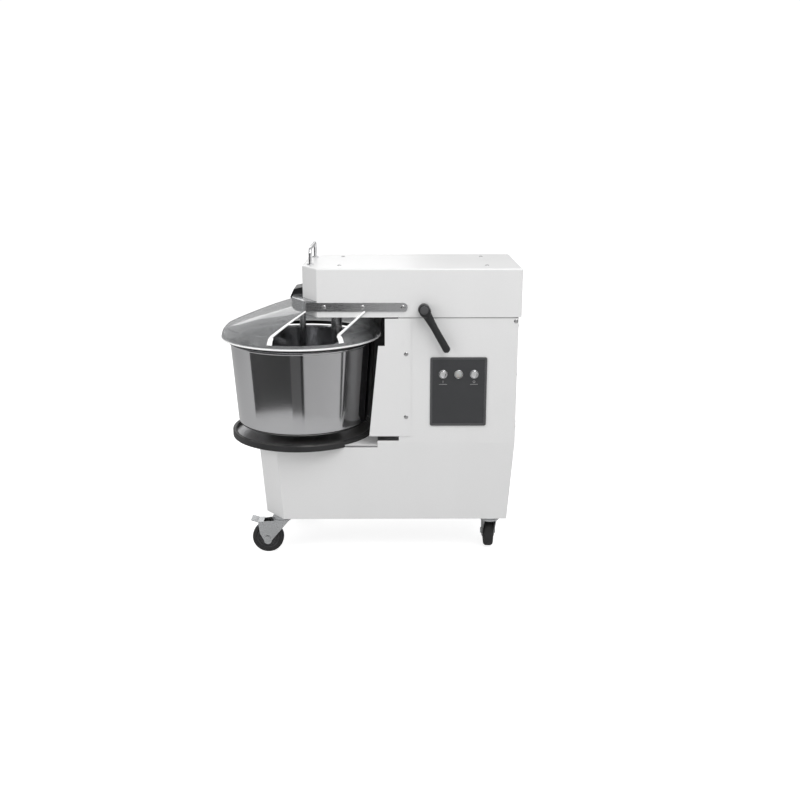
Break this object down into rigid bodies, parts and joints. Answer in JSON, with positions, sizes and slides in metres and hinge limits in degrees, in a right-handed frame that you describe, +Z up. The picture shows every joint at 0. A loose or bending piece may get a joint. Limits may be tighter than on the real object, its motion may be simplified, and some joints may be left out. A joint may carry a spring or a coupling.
{
  "type": "tilting-head spiral dough mixer",
  "caption": "Floor-standing spiral dough mixer: tilting head on a rear hinge, removable round bowl on a driven turntable, clear bowl guard, side control panel and swivel castors.",
  "frame": {"origin": "on the floor under the middle of the machine's overall box", "axes": "+Z up, +X from the bowl to the back of the column, controls on the -Y side"},
  "size_m": [0.927, 0.504, 0.97],
  "materials": {
    "white_coat": "satin white powder coat",
    "bowl_steel": "polished stainless",
    "plate_steel": "dull rolled plate",
    "shaft_steel": "ground and turned",
    "screw_steel": "stainless fasteners",
    "bright_chrome": "bright",
    "zinc_plate": "bright zinc plate",
    "castor_rubber": "moulded black rubber",
    "edge_rubber": "matt extruded rubber",
    "cast_grey": "painted casting",
    "gearbox_alloy": "die cast",
    "black_plastic": "fine grained moulding",
    "panel_charcoal": "printed overlay",
    "panel_border": "satin dark grey",
    "lamp_lens": "frosted lens",
    "black_paint": "gloss black",
    "clear_plastic": "clear moulded polycarbonate"
  },
  "bodies": {
    "base": {"body_screws": "screw_steel", "body_shell": "white_coat", "bowl_bearings": "shaft_steel", "bowl_belt": "edge_rubber", "bowl_hub": "cast_grey", "button_collars": "bright_chrome", "cable_gland": "black_plastic", "castor_stems": "zinc_plate", "column_cap": "plate_steel", "control_box": "black_plastic", "control_frame": "panel_border", "control_plate": "panel_charcoal", "floor_plate": "plate_steel", "gear_shelf": "plate_steel", "gearbox": "gearbox_alloy", "hinge_shaft": "shaft_steel", "motor": "cast_grey", "pilot_lamp": "lamp_lens", "rear_cover": "white_coat", "shelf_disc": "plate_steel", "shelf_edging": "edge_rubber", "side_guards": "white_coat"},
    "turntable": {"bowl": "bowl_steel", "turntable": "plate_steel", "bowl_spindle": "shaft_steel", "bowl_pulley": "cast_grey"},
    "lower_drive": {"lower_shaft": "shaft_steel", "lower_pulley": "cast_grey"},
    "upper_drive": {"upper_shaft": "shaft_steel", "clutch_lower": "shaft_steel"},
    "head_input": {"head_shaft": "shaft_steel", "clutch_upper": "shaft_steel", "head_pulley": "cast_grey"},
    "spiral": {"spiral_hook": "bowl_steel", "spiral_pulley": "cast_grey"},
    "head": {"head_shell": "white_coat", "head_chassis": "plate_steel", "head_bearings": "cast_grey", "head_belt": "edge_rubber", "bar_housing": "black_plastic", "breaker_bar": "bowl_steel", "bowl_guard": "clear_plastic", "guard_straps": "bowl_steel", "head_screws": "screw_steel", "lift_handle": "bright_chrome"},
    "lever": {"lock_lever": "black_plastic"},
    "start_button": {"start_button": "bright_chrome"},
    "stop_button": {"stop_button": "bright_chrome"},
    "gas_cylinder": {"gas_cylinder": "black_paint"},
    "gas_rod": {"gas_rod": "shaft_steel"},
    "fork_front_near": {"castor_fork_front_near": "zinc_plate"},
    "wheel_front_near": {"castor_wheel_front_near": "castor_rubber"},
    "fork_front_far": {"castor_fork_front_far": "zinc_plate"},
    "wheel_front_far": {"castor_wheel_front_far": "castor_rubber"},
    "fork_back_near": {"castor_fork_back_near": "zinc_plate"},
    "wheel_back_near": {"castor_wheel_back_near": "castor_rubber"},
    "fork_back_far": {"castor_fork_back_far": "zinc_plate"},
    "wheel_back_far": {"castor_wheel_back_far": "castor_rubber"},
    "pedal_near": {"brake_pedal_near": "zinc_plate"},
    "pedal_far": {"brake_pedal_far": "zinc_plate"}
  },
  "joints": [
    {"name": "head_tilt", "type": "hinge", "parent": "base", "child": "head", "pos_m": [0.4495, 0, 0.817], "axis": [0, 1, 0], "range_deg": [0, 60]},
    {"name": "bowl_spin", "type": "hinge", "parent": "base", "child": "turntable", "pos_m": [-0.2115, 0, 0.403], "axis": [0, 0, 1], "continuous": true},
    {"name": "lower_drive_spin", "type": "hinge", "parent": "base", "child": "lower_drive", "pos_m": [0.1885, 0, 0.238], "axis": [0, 0, 1], "continuous": true},
    {"name": "upper_drive_spin", "type": "hinge", "parent": "base", "child": "upper_drive", "pos_m": [0.1885, 0, 0.49], "axis": [0, 0, 1], "continuous": true},
    {"name": "head_input_spin", "type": "hinge", "parent": "head", "child": "head_input", "pos_m": [0.1885, 0, 0.846], "axis": [0, 0, 1], "continuous": true},
    {"name": "spiral_spin", "type": "hinge", "parent": "head", "child": "spiral", "pos_m": [-0.0995, 0, 0.846], "axis": [0, 0, 1], "continuous": true},
    {"name": "lever_turn", "type": "hinge", "parent": "head", "child": "lever", "pos_m": [0.1755, -0.184, 0.792], "axis": [0, -1, 0], "range_deg": [0, 90]},
    {"name": "start_press", "type": "slide", "parent": "base", "child": "start_button", "axis": [0, 1, 0], "range_m": [0, 0.004], "stiffness_N_per_m": 1200},
    {"name": "stop_press", "type": "slide", "parent": "base", "child": "stop_button", "axis": [0, 1, 0], "range_m": [0, 0.004], "stiffness_N_per_m": 1200},
    {"name": "gas_swing", "type": "hinge", "parent": "base", "child": "gas_cylinder", "pos_m": [0.3995, 0.096, 0.527], "axis": [0, 1, 0], "range_deg": [-8, 8]},
    {"name": "gas_extend", "type": "slide", "parent": "gas_cylinder", "child": "gas_rod", "axis": [0.0072, 0, 1], "range_m": [0, 0.075]},
    {"name": "swivel_front_near", "type": "hinge", "parent": "base", "child": "fork_front_near", "pos_m": [-0.2775, -0.136, 0.122], "axis": [0, 0, 1], "continuous": true},
    {"name": "roll_front_near", "type": "hinge", "parent": "fork_front_near", "child": "wheel_front_near", "pos_m": [-0.3225, -0.136, 0.05], "axis": [0, -1, 0], "continuous": true},
    {"name": "swivel_front_far", "type": "hinge", "parent": "base", "child": "fork_front_far", "pos_m": [-0.2775, 0.136, 0.122], "axis": [0, 0, 1], "continuous": true},
    {"name": "roll_front_far", "type": "hinge", "parent": "fork_front_far", "child": "wheel_front_far", "pos_m": [-0.23403, 0.14765, 0.05], "axis": [-0.2588, 0.9659, 0], "continuous": true},
    {"name": "swivel_back_near", "type": "hinge", "parent": "base", "child": "fork_back_near", "pos_m": [0.3885, -0.136, 0.122], "axis": [0, 0, 1], "continuous": true},
    {"name": "roll_back_near", "type": "hinge", "parent": "fork_back_near", "child": "wheel_back_near", "pos_m": [0.3885, -0.091, 0.05], "axis": [-1, 0, 0], "continuous": true},
    {"name": "swivel_back_far", "type": "hinge", "parent": "base", "child": "fork_back_far", "pos_m": [0.3885, 0.136, 0.122], "axis": [0, 0, 1], "continuous": true},
    {"name": "roll_back_far", "type": "hinge", "parent": "fork_back_far", "child": "wheel_back_far", "pos_m": [0.3885, 0.181, 0.05], "axis": [-1, 0, 0], "continuous": true},
    {"name": "brake_near", "type": "hinge", "parent": "fork_front_near", "child": "pedal_near", "pos_m": [-0.3435, -0.136, 0.09899], "axis": [0, -1, 0], "range_deg": [0, 15]},
    {"name": "brake_far", "type": "hinge", "parent": "fork_front_far", "child": "pedal_far", "pos_m": [-0.21375, 0.15308, 0.09899], "axis": [-0.2588, 0.9659, 0], "range_deg": [0, 15]}
  ],
  "couplings": [
    {"joint": "lower_drive_spin", "follows": "bowl_spin", "ratio": 3},
    {"joint": "upper_drive_spin", "follows": "bowl_spin", "ratio": 10},
    {"joint": "head_input_spin", "follows": "bowl_spin", "ratio": 10},
    {"joint": "spiral_spin", "follows": "bowl_spin", "ratio": 10},
    {"joint": "gas_swing", "follows": "head_tilt", "ratio": 0.0275},
    {"joint": "gas_extend", "follows": "head_tilt", "m_per_rad": 0.0475}
  ]
}
